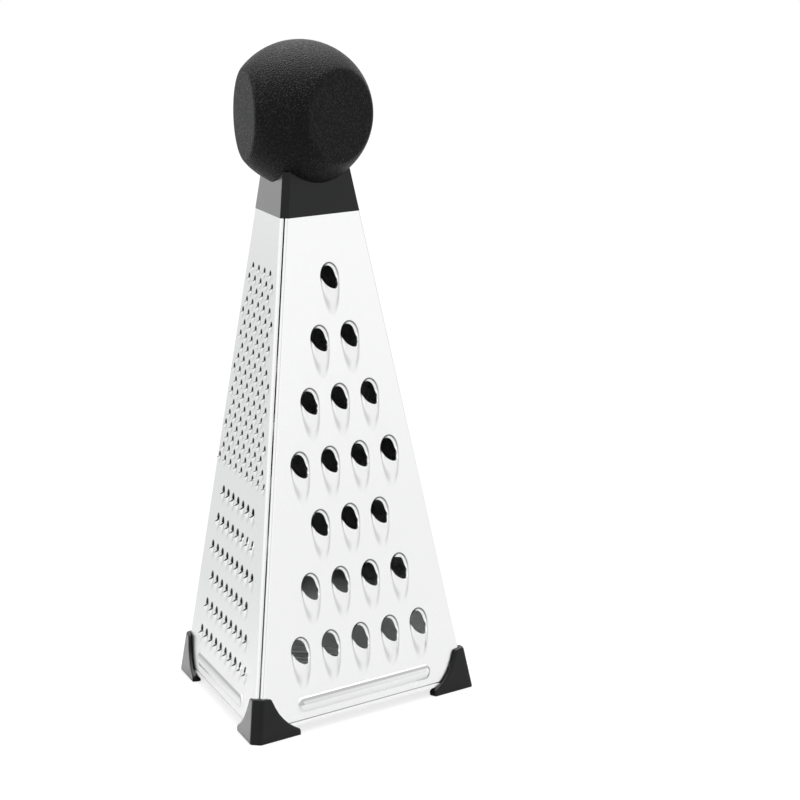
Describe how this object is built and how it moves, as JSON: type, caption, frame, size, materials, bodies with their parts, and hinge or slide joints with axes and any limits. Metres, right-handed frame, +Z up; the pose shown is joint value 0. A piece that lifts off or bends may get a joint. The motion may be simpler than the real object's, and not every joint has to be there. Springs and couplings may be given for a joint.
{
  "type": "three-sided tower grater",
  "caption": "Three-sided steel tower grater with coarse, fine and slicing sides, a ball knob with flats on a tapered collar, and corner feet.",
  "frame": {"origin": "where the tower's axis meets the floor that the feet stand on", "axes": "+Z up along the tower's axis, -Y out of the coarse side; the fine side faces the back left (-X, +Y) and the slicing side the back right (+X, +Y)"},
  "size_m": [0.113, 0.098, 0.2395],
  "materials": {
    "steel_sheet": "bright satin, finely brushed up and down",
    "collar_plastic": "smooth satin black",
    "inner_plastic": "plain moulded",
    "knob_rubber": "fine matte grain",
    "screw_steel": "bright plated",
    "foot_rubber": "smooth satin"
  },
  "bodies": {
    "root": {"coarse_plate": "steel_sheet", "fine_plate": "steel_sheet", "slicer_plate": "steel_sheet", "collar": "collar_plastic", "clamp_plug": "inner_plastic", "knob_core": "inner_plastic", "knob_grip": "knob_rubber", "knob_screw": "screw_steel", "foot_front_left": "foot_rubber", "foot_front_right": "foot_rubber", "foot_back": "foot_rubber"}
  },
  "joints": []
}
